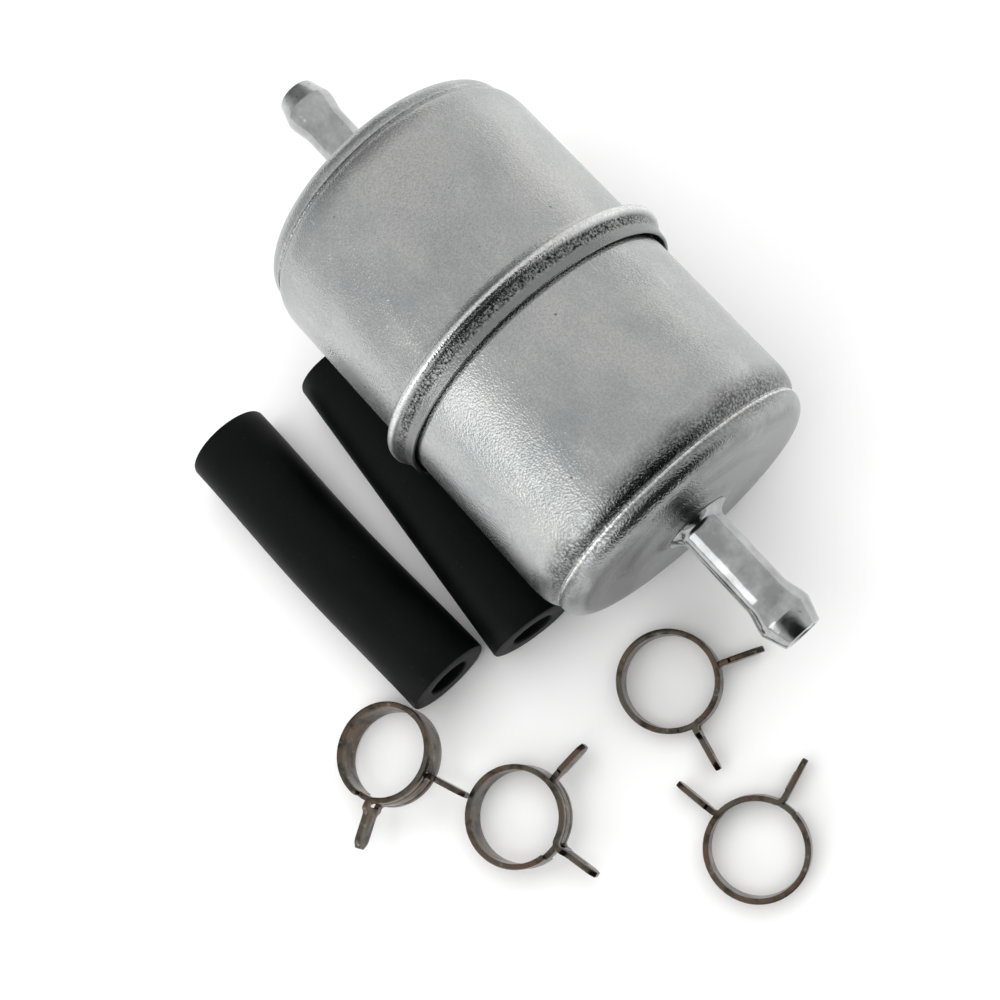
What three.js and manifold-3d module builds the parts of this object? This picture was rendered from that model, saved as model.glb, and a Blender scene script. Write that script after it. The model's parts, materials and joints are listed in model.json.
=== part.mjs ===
// An inline fuel filter for small engines, with the two hose pieces and four spring
// clamps that are sold with it. The filter lies on its seam bead with its axis level.
// Frame: +X along the filter's axis from inlet to outlet, +Z up, millimetres.

import * as THREE from "three";
import { mergeVertices } from "three/addons/utils/BufferGeometryUtils.js";
import Module from "manifold-3d";

const wasm = await Module();
wasm.setup();

// ---------------------------------------------------------------- driving dimensions

const GAP = 0.3; // clearance between pieces that touch on the real filter

// the two pressed shells, measured from the middle of the seam bead
const SHELL_R = 21;
const SHEET = 0.6;
const BEAD_R = 23.1;
const WALL_END = 24.4; // where the straight wall gives way to the shoulder
const CREASE_R = 19.8;
const CREASE_X = 27.7; // the sharp step between the shoulder and the end rim
const END_X = 31.0; // the flat end
const END_R = 17.0; // the flat end's outer radius
const END_HOLE_R = 3.5;

// the hose nipples
const NIPPLE_R = 3.1;
const NIPPLE_BORE_R = 2.1;
const NIPPLE_ROOT_X = 30.9; // where the nipple's stem leaves its inner flange
const NIPPLE_FLANGE_X = 29.9; // the flange's inner face
const INLET_TIP_X = -49.6;
const OUTLET_TIP_X = 50.9;
const INLET_BARB_R = 3.65;
const OUTLET_BARB_R = 3.85;

// the filter element
const PLEATS = 20;
const PLEAT_TIP_R = 16.5;
const PLEAT_ROOT_R = 7.5;
const PLEAT_TIP_INSET = 3.1; // radial depth of the folded paper at a tip
const PLEAT_ROOT_INSET = 1.4; // and at a root
const PAPER_FROM = -19.0;
const PAPER_TO = 26.0;
const CAP_R = 17.6;
const SEAT_X = PAPER_FROM - 1.2; // the spring seat's face towards the element
const CORE_R = 5.6;
const CORE_THICK = 0.6;
const CORE_HOLE_R = 1.3;

// the hoses
const HOSE_R = 6.35;
const HOSE_BORE_R = 3.175;
const HOSE_LENGTH = 48;

// the spring clamps
const BAND_R = 7.1; // outer radius of the relaxed band
const BAND_THICK = 0.7;
const BAND_WIDTH = 4.5;
const TONGUE_WIDTH = 1.5;
const WINDOW_WIDTH = 2.3;
const WINDOW_PAST_FOOT = 12; // degrees the window runs on past its own tang
const WINDOW_PAST_TONGUE = 7; // and past the tongue's tang
const WINDOW_RISE = 0.9; // how far it cuts into the tang's foot, clear of the swinging tongue
const BACK_ANGLE = 2.5; // half the opening between the two halves at the back, in degrees
const TANG_ANGLE = 40; // each tang stands this far, in degrees, from the clamp's front
const TANG_REACH = 6.5; // how far a tang stands out of the band
const TANG_WIDTH = 2.7;
const TANG_NECK = 1.5; // height over the band where a tang reaches its full width

// where the loose pieces lie beside the filter: middle of each, and its turn about +Z
const HOSES = [
  { name: "hose_1", x: -2.6, y: -40.8, turn: 2.3 },
  { name: "hose_2", x: 0.5, y: -24.45, turn: -5.2 },
];

// front is the way each clamp's front faces; a tilted one leans by tilt degrees about a
// level line that points along lean
const CLAMPS = [
  { name: "clamp_1", x: 23.0, y: -53.8, front: -17, tilt: 14, lean: -88 },
  { name: "clamp_2", x: 41.6, y: -45.7, front: 54, tilt: 6, lean: -70 },
  { name: "clamp_3", x: 41.9, y: -17.7, front: 27, tilt: 0, lean: 0 },
  { name: "clamp_4", x: 66.2, y: -24.0, front: 149, tilt: 0, lean: 0 },
];

const ROUND = 32; // facets round the shells
const SMALL_ROUND = 16; // facets round the nipples and rings

// ---------------------------------------------------------------- materials

function steel(color, roughness) {
  return new THREE.MeshStandardMaterial({ color, roughness, metalness: 1 });
}

function dull(color, roughness) {
  return new THREE.MeshStandardMaterial({ color, roughness, metalness: 0 });
}

const platedSteel = () => steel(0xa6a9a8, 0.42);
const brightSteel = () => steel(0xb9bbbb, 0.28);
const springSteel = () => steel(0x77706a, 0.48);
const blackRubber = () => dull(0x141716, 0.62);
const filterPaper = () => dull(0xc9a15c, 0.9);
const sealRubber = () => dull(0x1d1d1e, 0.7);

// ---------------------------------------------------------------- helpers

const group = new THREE.Group();

function addMesh(parent, name, geometry, material) {
  const mesh = new THREE.Mesh(geometry, material);
  mesh.name = name;
  parent.add(mesh);
  return mesh;
}

// Turns a closed outline of [x, radius] points round the X axis.
function turned(points, facets) {
  const outline = points.map(([x, r]) => new THREE.Vector2(r, x));
  const first = outline[0];
  outline.push(first.clone());
  const geometry = new THREE.LatheGeometry(outline, facets);
  geometry.rotateZ(-Math.PI / 2);
  return faceOutwards(geometry);
}

// Points on an elliptical arc, angles in degrees, both ends included.
function arc(cx, cr, rx, rr, from, to, steps) {
  const points = [];
  for (let i = 0; i <= steps; i++) {
    const a = THREE.MathUtils.degToRad(from + ((to - from) * i) / steps);
    points.push([cx + rx * Math.cos(a), cr + rr * Math.sin(a)]);
  }
  return points;
}

function mirrored(points) {
  return points.map(([x, r]) => [-x, r]);
}

function signedVolume(geometry) {
  const at = geometry.attributes.position;
  const index = geometry.index;
  const count = index ? index.count : at.count;
  const corner = (i) => new THREE.Vector3().fromBufferAttribute(at, index ? index.getX(i) : i);
  let volume = 0;
  for (let i = 0; i < count; i += 3) {
    volume += corner(i).dot(corner(i + 1).cross(corner(i + 2))) / 6;
  }
  return volume;
}

// Welds the shared points, drops faces of no area, and turns an inside-out body round.
function faceOutwards(geometry) {
  geometry.deleteAttribute("normal");
  geometry.deleteAttribute("uv");
  const welded = mergeVertices(geometry, 1e-5);
  const index = welded.index.array;
  const kept = [];
  for (let i = 0; i < index.length; i += 3) {
    const [a, b, c] = [index[i], index[i + 1], index[i + 2]];
    if (a !== b && b !== c && c !== a) {
      kept.push(a, b, c);
    }
  }
  welded.setIndex(kept);
  if (signedVolume(welded) < 0) {
    welded.setIndex(kept.reverse());
  }
  return welded;
}

function toSolid(geometry) {
  const closed = faceOutwards(geometry);
  const mesh = new wasm.Mesh({
    numProp: 3,
    vertProperties: new Float32Array(closed.attributes.position.array),
    triVerts: new Uint32Array(closed.index.array),
  });
  return new wasm.Manifold(mesh);
}

function toGeometry(solid) {
  const mesh = solid.getMesh();
  const geometry = new THREE.BufferGeometry();
  geometry.setAttribute("position", new THREE.BufferAttribute(mesh.vertProperties, 3));
  geometry.setIndex(new THREE.BufferAttribute(mesh.triVerts, 1));
  return geometry;
}

// ---------------------------------------------------------------- pressed shells

// The outside of one pressed end, from the straight wall to the hole for the nipple,
// drawn for the outlet side; the inlet side is its mirror image.
function endOutside() {
  const shoulder = arc(WALL_END, CREASE_R, 3.3, SHELL_R - CREASE_R, 90, 22, 3);
  const rim = arc(CREASE_X + 0.5, END_R, 2.8, CREASE_R + 0.05 - END_R, 84, 0, 4);
  const flat = [
    [END_X - 0.15, 11.5],
    [END_X + 0.2, 10.6],
    [END_X + 0.25, 6.4],
    [END_X + 0.7, 5.2],
  ];
  const crease = [CREASE_X + 0.15, CREASE_R - 0.15];
  return [...shoulder, crease, ...rim, ...flat, [END_X + 0.75, END_HOLE_R]];
}

// The same surface one sheet thickness further in, walked back from hole to wall.
function endInside() {
  return [
    [END_X + 0.75 - SHEET, END_HOLE_R],
    [END_X + 0.65 - SHEET, 5.0],
    [END_X + 0.2 - SHEET, 6.2],
    [END_X + 0.15 - SHEET, 10.6],
    [END_X - 0.15 - SHEET, 11.6],
    ...arc(CREASE_X + 0.3, END_R - 0.1, 2.4, CREASE_R - SHEET - 0.2 - END_R + 0.1, 0, 84, 2),
    ...arc(WALL_END, CREASE_R - 0.7, 3.0, SHELL_R - SHEET - CREASE_R + 0.7, 25, 90, 2),
  ];
}

function outletShell() {
  const flange = [
    [0.85, SHELL_R],
    [0.5, SHELL_R + 0.25],
    [0.5, 21.6],
    [-0.1, 21.6],
    [-0.1, SHELL_R - SHEET + 0.2],
    [0.1, SHELL_R - SHEET],
  ];
  return turned([...flange.slice().reverse(), ...endOutside(), ...endInside()], ROUND);
}

// The inlet shell's open edge turns out, round the crest of the bead, and folds down
// over the outlet shell's flange as a sloping skirt.
function inletShell() {
  const crest = [
    ...arc(-3.4, 22.5, 1.5, 1.5, -90, -12, 3),
    ...arc(-1.1, 22.3, 0.8, 0.8, 180, 75, 3),
    [-0.2, 23.0],
    [1.9, 22.0],
    [2.15, 21.75],
    [2.15, 21.35],
    [1.9, 21.42],
    [-0.35, 22.4],
    ...arc(-1.05, 22.2, 0.25, 0.25, 90, 180, 2),
    [-1.3, 21.0],
    [-1.5, 20.6],
    [-2.1, SHELL_R - SHEET],
  ];
  const outside = mirrored(endOutside()).reverse();
  const inside = mirrored(endInside()).reverse();
  return turned([...outside, ...crest, ...inside], ROUND);
}

function ring(fromX, toX, innerR, outerR, facets, chamfer = 0.12) {
  const c = chamfer;
  return turned(
    [
      [fromX, innerR + c],
      [fromX, outerR - c],
      [fromX + c, outerR],
      [toX - c, outerR],
      [toX, outerR - c],
      [toX, innerR + c],
      [toX - c, innerR],
      [fromX + c, innerR],
    ],
    facets,
  );
}

// ---------------------------------------------------------------- nipples

// A drawn tube with a barb near its open end and a flange inside the shell.
// The outline is drawn for the outlet side, root to tip.
function nipple(tipX, barbR, barbLength, tipR) {
  const root = NIPPLE_ROOT_X;
  const barb = tipX - barbLength;
  return [
    [NIPPLE_FLANGE_X, NIPPLE_BORE_R],
    [NIPPLE_FLANGE_X, 5.4],
    [root - 0.4, 5.4],
    [root - 0.4, NIPPLE_R + 0.4],
    [root, NIPPLE_R],
    [barb - 3.2, NIPPLE_R],
    [barb - 1.5, NIPPLE_R + (barbR - NIPPLE_R) * 0.35],
    [barb - 0.4, barbR - 0.05],
    [barb + 0.1, barbR],
    [barb + 0.55, barbR - 0.12],
    [tipX - 0.3, tipR + 0.15],
    [tipX, tipR - 0.05],
    [tipX, NIPPLE_BORE_R + 0.1],
    [tipX - 0.2, NIPPLE_BORE_R],
  ];
}

// The small fillet of braze that seals each nipple to its shell.
function brazeRing() {
  const x = END_X + 0.75 + GAP;
  return [
    [x, NIPPLE_R + GAP],
    [x, 4.9],
    [x + 0.25, 4.75],
    [x + 0.7, 4.0],
    [x + 1.3, NIPPLE_R + GAP + 0.2],
    [x + 1.3, NIPPLE_R + GAP],
  ];
}

// ---------------------------------------------------------------- filter element

// The paper is one band folded into pleats and glued into a tube.
function pleatedPaper() {
  const outline = (tipR, rootR) => {
    const points = [];
    for (let i = 0; i < PLEATS; i++) {
      const tip = (2 * Math.PI * i) / PLEATS;
      const root = (2 * Math.PI * (i + 0.5)) / PLEATS;
      points.push(new THREE.Vector2(tipR * Math.cos(tip), tipR * Math.sin(tip)));
      points.push(new THREE.Vector2(rootR * Math.cos(root), rootR * Math.sin(root)));
    }
    return points;
  };
  const shape = new THREE.Shape(outline(PLEAT_TIP_R, PLEAT_ROOT_R));
  const inside = outline(PLEAT_TIP_R - PLEAT_TIP_INSET, PLEAT_ROOT_R - PLEAT_ROOT_INSET);
  shape.holes.push(new THREE.Path(inside));
  const depth = PAPER_TO - PAPER_FROM;
  const geometry = new THREE.ExtrudeGeometry(shape, { depth, bevelEnabled: false });
  geometry.rotateY(Math.PI / 2);
  geometry.translate(PAPER_FROM, 0, 0);
  return faceOutwards(geometry);
}

// The tube that holds the pleats from inside, drilled in staggered rows.
function perforatedCore() {
  const from = PAPER_FROM + 1.2;
  const to = PAPER_TO - 0.2;
  let solid = toSolid(ring(from, to, CORE_R - CORE_THICK, CORE_R, 20, 0.05));
  const rows = 5;
  const holesInRow = 4;
  for (let row = 0; row < rows; row++) {
    const x = from + ((row + 0.75) * (to - from)) / (rows + 0.5);
    for (let i = 0; i < holesInRow; i++) {
      const drill = new THREE.CylinderGeometry(CORE_HOLE_R, CORE_HOLE_R, 4, 8);
      drill.translate(0, CORE_R, 0);
      drill.rotateX((2 * Math.PI * (i + (row % 2) / 2)) / holesInRow);
      drill.translate(x, 0, 0);
      solid = solid.subtract(toSolid(drill));
    }
  }
  return toGeometry(solid);
}

function closedCap() {
  const x = PAPER_FROM - GAP;
  return turned(
    [
      [x, 0],
      [x, CAP_R - 0.6],
      [x + 2.4, CAP_R - 0.6],
      [x + 2.4, CAP_R],
      [x - 0.3, CAP_R],
      [x - 0.6, CAP_R - 0.3],
      [x - 0.6, 0],
    ],
    ROUND,
  );
}

function openCap() {
  const x = PAPER_TO + GAP;
  return turned(
    [
      [x, CORE_R + 0.4],
      [x, CAP_R - 0.6],
      [x - 2.4, CAP_R - 0.6],
      [x - 2.4, CAP_R],
      [x + 0.3, CAP_R],
      [x + 0.6, CAP_R - 0.3],
      [x + 0.6, CORE_R + 0.4],
    ],
    ROUND,
  );
}

// A conical coil that presses the element onto its gasket.
class Coil extends THREE.Curve {
  constructor(fromX, toX, fromR, toR, turns) {
    super();
    Object.assign(this, { fromX, toX, fromR, toR, turns });
  }

  getPoint(t, target = new THREE.Vector3()) {
    const a = 2 * Math.PI * this.turns * t;
    const r = THREE.MathUtils.lerp(this.fromR, this.toR, t);
    const x = THREE.MathUtils.lerp(this.fromX, this.toX, t);
    return target.set(x, r * Math.cos(a), r * Math.sin(a));
  }
}

function retainingSpring() {
  const wireR = 0.5;
  const section = new THREE.Shape();
  section.absarc(0, 0, wireR, 0, 2 * Math.PI, false);
  const from = -(END_X + 0.15 - SHEET - GAP - wireR - 0.1);
  const to = SEAT_X - SHEET - GAP - wireR - 0.1;
  const path = new Coil(from, to, 7.6, 10.5, 2.6);
  return faceOutwards(
    new THREE.ExtrudeGeometry(section, { steps: 36, curveSegments: 3, extrudePath: path }),
  );
}

// ---------------------------------------------------------------- hoses

function hose() {
  const half = HOSE_LENGTH / 2;
  const c = 0.25;
  return turned(
    [
      [-half, HOSE_BORE_R],
      [-half, HOSE_R - c],
      [-half + c, HOSE_R],
      [half - c, HOSE_R],
      [half, HOSE_R - c],
      [half, HOSE_BORE_R],
    ],
    SMALL_ROUND,
  );
}

// ---------------------------------------------------------------- spring clamps

// A slice of ring between two angles (degrees), extruded across its width.
function bandSlice(from, to, innerR, outerR, width, steps) {
  const shape = new THREE.Shape();
  const point = (r, i) => {
    const a = THREE.MathUtils.degToRad(from + ((to - from) * i) / steps);
    return [r * Math.cos(a), r * Math.sin(a)];
  };
  shape.moveTo(...point(outerR, 0));
  for (let i = 1; i <= steps; i++) {
    shape.lineTo(...point(outerR, i));
  }
  for (let i = steps; i >= 0; i--) {
    shape.lineTo(...point(innerR, i));
  }
  const geometry = new THREE.ExtrudeGeometry(shape, { depth: width, bevelEnabled: false });
  geometry.translate(0, 0, -width / 2);
  return toSolid(geometry);
}

// A tang is a flat plate standing out of the band: narrow or full at its foot, then
// TANG_WIDTH wide. It is drawn in the plane of the radius and the ring's axis.
function tang(angle, footWidth, footR) {
  const shoulder = BAND_R + TANG_NECK;
  const tipR = BAND_R + TANG_REACH;
  const shape = new THREE.Shape();
  shape.moveTo(footR, -footWidth / 2);
  shape.lineTo(shoulder - 0.5, -footWidth / 2);
  shape.lineTo(shoulder + 0.3, -TANG_WIDTH / 2);
  shape.lineTo(tipR - 0.8, -TANG_WIDTH / 2);
  shape.lineTo(tipR, -TANG_WIDTH / 2 + 0.8);
  shape.lineTo(tipR, TANG_WIDTH / 2 - 0.8);
  shape.lineTo(tipR - 0.8, TANG_WIDTH / 2);
  shape.lineTo(shoulder + 0.3, TANG_WIDTH / 2);
  shape.lineTo(shoulder - 0.5, footWidth / 2);
  shape.lineTo(footR, footWidth / 2);
  const geometry = new THREE.ExtrudeGeometry(shape, { depth: BAND_THICK, bevelEnabled: false });
  geometry.translate(0, 0, -BAND_THICK / 2);
  geometry.rotateX(Math.PI / 2);
  geometry.rotateZ(THREE.MathUtils.degToRad(angle));
  return toSolid(geometry);
}

// The half of the band that carries the window: two rails with a slot between them
// that runs on into the foot of its tang.
function windowHalf() {
  const innerR = BAND_R - BAND_THICK;
  const band = bandSlice(-TANG_ANGLE, 180 - BACK_ANGLE, innerR, BAND_R, BAND_WIDTH, 26);
  const slotFrom = -TANG_ANGLE - WINDOW_PAST_FOOT;
  const slotTo = TANG_ANGLE + WINDOW_PAST_TONGUE;
  const slotTop = BAND_R + WINDOW_RISE;
  const slot = bandSlice(slotFrom, slotTo, innerR - 1, slotTop, WINDOW_WIDTH, 12);
  const foot = tang(-TANG_ANGLE, BAND_WIDTH, innerR + 0.1);
  return toGeometry(band.add(foot).subtract(slot));
}

// The half whose end narrows to the tongue that passes through the window.
function tongueHalf() {
  const innerR = BAND_R - BAND_THICK;
  const band = bandSlice(180 + BACK_ANGLE, 300, innerR, BAND_R, BAND_WIDTH, 14);
  const tongue = bandSlice(298, 360 + TANG_ANGLE, innerR, BAND_R, TONGUE_WIDTH, 12);
  const foot = tang(TANG_ANGLE, TONGUE_WIDTH, innerR + 0.1);
  return toGeometry(band.add(tongue).add(foot));
}

// ---------------------------------------------------------------- assembly

const filter = new THREE.Group();
filter.position.z = BEAD_R;
group.add(filter);

addMesh(filter, "inlet_shell", inletShell(), platedSteel());
addMesh(filter, "outlet_shell", outletShell(), platedSteel());
addMesh(filter, "seam_seal", ring(-1.0, -0.4, 20.7, 21.9, ROUND, 0.1), sealRubber());
addMesh(
  filter,
  "outlet_nipple",
  turned(nipple(OUTLET_TIP_X, OUTLET_BARB_R, 3.2, 2.7), SMALL_ROUND),
  brightSteel(),
);
addMesh(
  filter,
  "inlet_nipple",
  turned(mirrored(nipple(-INLET_TIP_X, INLET_BARB_R, 3.0, 2.75)), SMALL_ROUND),
  brightSteel(),
);
addMesh(filter, "outlet_braze_ring", turned(brazeRing(), SMALL_ROUND), brightSteel());
addMesh(filter, "inlet_braze_ring", turned(mirrored(brazeRing()), SMALL_ROUND), brightSteel());

addMesh(filter, "filter_paper", pleatedPaper(), filterPaper());
addMesh(filter, "perforated_core", perforatedCore(), brightSteel());
addMesh(filter, "closed_end_cap", closedCap(), platedSteel());
addMesh(filter, "open_end_cap", openCap(), platedSteel());
addMesh(filter, "retaining_spring", retainingSpring(), springSteel());

const capFace = PAPER_TO + GAP + 0.6;
addMesh(
  filter,
  "outlet_gasket",
  ring(capFace + GAP, NIPPLE_FLANGE_X - GAP, 3.2, 9.0, SMALL_ROUND),
  sealRubber(),
);
addMesh(filter, "spring_seat", ring(SEAT_X - SHEET, SEAT_X, 6.5, 12.5, SMALL_ROUND), brightSteel());

for (const { name, x, y, turn } of HOSES) {
  const mesh = addMesh(group, name, hose(), blackRubber());
  mesh.position.set(x, y, HOSE_R);
  mesh.rotation.z = THREE.MathUtils.degToRad(turn);
}

// A clamp lies on its edge; a leaning one touches down at its low side.
for (const { name, x, y, front, tilt, lean } of CLAMPS) {
  const pose = new THREE.Group();
  const slope = THREE.MathUtils.degToRad(tilt);
  pose.position.set(x, y, 0);
  const leanAngle = THREE.MathUtils.degToRad(lean);
  const leanAxis = new THREE.Vector3(Math.cos(leanAngle), Math.sin(leanAngle), 0);
  const turn = new THREE.Quaternion();
  turn.setFromAxisAngle(new THREE.Vector3(0, 0, 1), THREE.MathUtils.degToRad(front));
  pose.quaternion.setFromAxisAngle(leanAxis, slope).multiply(turn);
  addMesh(pose, `${name}_window_half`, windowHalf(), springSteel());
  addMesh(pose, `${name}_tongue_half`, tongueHalf(), springSteel());
  pose.position.z = -new THREE.Box3().setFromObject(pose, true).min.z;
  group.add(pose);
}

// The origin is the middle of the whole set's footprint, on the surface it lies on.
const bounds = new THREE.Box3().setFromObject(group, true);
const middle = bounds.getCenter(new THREE.Vector3());
const shift = new THREE.Vector3(-middle.x, -middle.y, -bounds.min.z);
for (const child of group.children) {
  child.position.add(shift);
}

export default group;
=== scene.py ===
# %% [markdown]
# # An inline fuel filter with its hoses and spring clamps
# The model arrives as a fixed frame: every part already has its place and its body.
# This file gives each part the shape and the finish of the real thing.

# %% Load the frame
import math
import bmesh
import bpy
from mathutils import Matrix, Vector
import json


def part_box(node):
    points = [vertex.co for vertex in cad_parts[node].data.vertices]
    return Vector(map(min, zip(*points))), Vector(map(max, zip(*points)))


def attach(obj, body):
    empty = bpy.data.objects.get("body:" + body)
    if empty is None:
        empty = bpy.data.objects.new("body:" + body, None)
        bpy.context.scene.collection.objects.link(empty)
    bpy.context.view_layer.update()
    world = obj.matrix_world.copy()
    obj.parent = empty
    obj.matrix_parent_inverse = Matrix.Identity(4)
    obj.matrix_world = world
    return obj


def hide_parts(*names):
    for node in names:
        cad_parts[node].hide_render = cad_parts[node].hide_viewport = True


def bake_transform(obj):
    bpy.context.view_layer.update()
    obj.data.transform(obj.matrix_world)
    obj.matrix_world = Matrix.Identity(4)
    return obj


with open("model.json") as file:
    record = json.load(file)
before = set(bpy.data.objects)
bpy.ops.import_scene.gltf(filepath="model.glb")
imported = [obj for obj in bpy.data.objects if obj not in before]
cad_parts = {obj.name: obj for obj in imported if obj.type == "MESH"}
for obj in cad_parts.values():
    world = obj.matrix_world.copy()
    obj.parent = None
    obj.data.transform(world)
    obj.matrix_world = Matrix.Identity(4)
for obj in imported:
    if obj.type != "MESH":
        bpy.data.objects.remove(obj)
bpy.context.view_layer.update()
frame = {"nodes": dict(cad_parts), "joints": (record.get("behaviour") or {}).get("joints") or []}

MM = 0.001
print("parts in the frame:", len(frame["nodes"]))

# %% [markdown]
# ## Where the filter lies
# The can lies on its rolled seam with its axis level. Its own drawing measures along
# the axis from the middle of the seam bead, so that point is found first, from the
# outlet nipple's tip, which is 50.9 mm along the axis from it.

# %% Find the filter's axis
OUTLET_TIP = 50.9  # millimetres from the middle of the bead
INLET_TIP = 49.6
low, high = (Vector(corner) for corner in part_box("outlet_nipple"))
BEAD_MIDDLE = Vector((high.x - OUTLET_TIP * MM, (low.y + high.y) / 2, (low.z + high.z) / 2))
print("bead middle", [round(v, 5) for v in BEAD_MIDDLE])

# %% [markdown]
# ## Drawing an outline and turning it
# A pressed can, a drawn tube and an extruded hose are all round, so each could be a
# stack of scaled rings or one outline turned on a lathe. Turning is closer to how the
# real ones are made, and puts every small step of the rim where it belongs. The
# outline starts as a small plane, merged to one point, which is then extruded from
# corner to corner. Outlines are in millimetres: distance along the axis, then radius.

# %% Outline and lathe
def start_piece():
    if bpy.context.object and bpy.context.object.mode != "OBJECT":
        bpy.ops.object.mode_set(mode="OBJECT")
    bpy.ops.object.select_all(action="DESELECT")


def draw_chain(name, points):
    start_piece()
    bpy.ops.mesh.primitive_plane_add(size=MM, location=points[0])
    piece = bpy.context.object
    piece.name = name
    bpy.ops.object.transform_apply(location=True, rotation=True, scale=True)
    bpy.ops.object.mode_set(mode="EDIT")
    bpy.ops.mesh.merge(type="CENTER")
    for here, there in zip(points, points[1:]):
        step = Vector(there) - Vector(here)
        bpy.ops.mesh.extrude_region_move(TRANSFORM_OT_translate={"value": step})
    return piece


def turn_outline(name, outline, steps=128):
    closed = [*outline, outline[0]]
    piece = draw_chain(name, [(x * MM, 0, r * MM) for x, r in closed])
    bpy.ops.mesh.select_all(action="SELECT")
    bpy.ops.mesh.spin(steps=steps, angle=2 * math.pi, center=(0, 0, 0), axis=(1, 0, 0))
    bpy.ops.mesh.select_all(action="SELECT")
    bpy.ops.mesh.remove_doubles(threshold=1e-6)
    bpy.ops.mesh.normals_make_consistent(inside=False)
    bpy.ops.object.mode_set(mode="OBJECT")
    bpy.ops.object.shade_smooth_by_angle(angle=math.radians(35))
    return piece


def put(piece, matrix):
    piece.matrix_world = matrix
    bpy.ops.object.select_all(action="DESELECT")
    piece.select_set(True)
    bpy.context.view_layer.objects.active = piece
    bpy.ops.object.transform_apply(location=True, rotation=True, scale=True)


def arc(cx, cr, rx, rr, start, end, steps):
    """Points on an ellipse about (cx, cr), from one angle in degrees to another."""
    angles = [math.radians(start + (end - start) * i / steps) for i in range(steps + 1)]
    return [(cx + rx * math.cos(a), cr + rr * math.sin(a)) for a in angles]


def mirrored(outline):
    return [(-x, r) for x, r in reversed(outline)]


# %% [markdown]
# ## Materials: one helper for nodes, one for colours
# Every finish below is procedural, wired from noise, ranges and mixes by one function.
# It fills a node's inputs in their own order or by name, links what comes from another
# node, and gives back the node's output. Patterns are sized in real millimetres: a
# noise scale of 1000 / s gives features about s millimetres wide.

# %% Node and colour helpers
def srgb(code):
    """An sRGB hex colour as the linear values that the renderer works in."""
    channels = [int(code[i : i + 2], 16) / 255 for i in (1, 3, 5)]
    linear = [c / 12.92 if c <= 0.04045 else ((c + 0.055) / 1.055) ** 2.4 for c in channels]
    return (*linear, 1)


def per_mm(size):
    return 1000 / size


def fill(tree, socket, value):
    """Links a socket to another node's output, or sets it to a plain value."""
    if isinstance(value, bpy.types.NodeSocket):
        tree.links.new(value, socket)
    else:
        socket.default_value = value


def add_node(tree, kind, *in_order, output=None, **named):
    """Adds a node. A lower-case name is a setting, and a capitalised one is an input."""
    node = tree.nodes.new("ShaderNode" + kind)
    for name, value in named.items():
        if name.islower():
            setattr(node, name, value)
    for socket, value in zip([s for s in node.inputs if s.enabled], in_order):
        fill(tree, socket, value)
    for name, value in named.items():
        if not name.islower():
            fill(tree, node.inputs[name], value)
    return node.outputs[output] if output else [s for s in node.outputs if s.enabled][0]


def new_material(name):
    material = bpy.data.materials.new(name)
    material.use_nodes = True
    tree = material.node_tree
    return material, tree, add_node(tree, "TexCoord", output="Object")


def set_shader(tree, **inputs):
    """Sets or links the shader's inputs, which are named with _ for a space."""
    shader = tree.nodes["Principled BSDF"]
    for name, value in inputs.items():
        fill(tree, shader.inputs[name.replace("_", " ")], value)


# %% [markdown]
# ## Plated pressed steel
# The can is deep-drawn sheet steel with a satin zinc plate. Drawing stretches the
# grain of the sheet into a fine orange peel, which breaks every highlight into
# sparkle. The plate itself is cloudy: soft patches a centimetre wide, a few pale
# handling scratches, and small dark specks. Over that, light and shade are painted into
# the colour: painted dark reflections on the shoulders, the ends and the fold of the
# seam, and painted highlights on the crease and the crest of the bead. Those places are
# bands along the can's axis, so each is picked out by its distance from the seam.

# %% Clouds, specks and scratches
def cloudy_plate(tree, place):
    """The plate's own colour, and the broad clouds that also drive its roughness."""
    cloud = add_node(tree, "TexNoise", place, per_mm(16), 4, 0.55)
    tone = add_node(tree, "MapRange", cloud, 0.35, 0.65, 0.0, 1.0)
    base = add_node(tree, "Mix", tone, srgb("#aaafaf"), srgb("#c8c9c8"), data_type="RGBA")
    drawn_out = add_node(tree, "Mapping", Vector=place, Scale=(0.35, 1, 1))
    patch = add_node(tree, "TexNoise", drawn_out, per_mm(5), 5, 0.65)
    patch = add_node(tree, "MapRange", patch, 0.52, 0.72, 0.0, 0.7)
    base = add_node(tree, "Mix", patch, base, srgb("#cccdcb"), data_type="RGBA")
    speck = add_node(tree, "TexVoronoi", place, per_mm(4.5))
    speck = add_node(tree, "MapRange", speck, 0.03, 0.055, 0.75, 0.0)
    return add_node(tree, "Mix", speck, base, srgb("#5f6160"), data_type="RGBA"), cloud


def handling_scratches(tree, place):
    """Short fine marks in two directions, in some places only."""
    one_way = add_node(tree, "Mapping", Vector=place, Scale=(0.16, 1, 1), Rotation=(0, 0.5, 0.9))
    first = add_node(tree, "TexNoise", one_way, per_mm(0.7), 2, 0.5)
    first = add_node(tree, "MapRange", first, 0.70, 0.76, 0.0, 1.0)
    other_way = add_node(tree, "Mapping", Vector=place, Scale=(1, 0.2, 1), Rotation=(0.6, 0, 0.35))
    second = add_node(tree, "TexNoise", other_way, per_mm(0.8), 2, 0.5)
    second = add_node(tree, "MapRange", second, 0.71, 0.77, 0.0, 1.0)
    marks = add_node(tree, "Math", first, second, operation="MAXIMUM")
    handled = add_node(tree, "TexNoise", place, per_mm(9), 2, 0.5)
    handled = add_node(tree, "MapRange", handled, 0.5, 0.62, 0.0, 1.0)
    return add_node(tree, "Math", marks, handled, operation="MULTIPLY")
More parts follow.
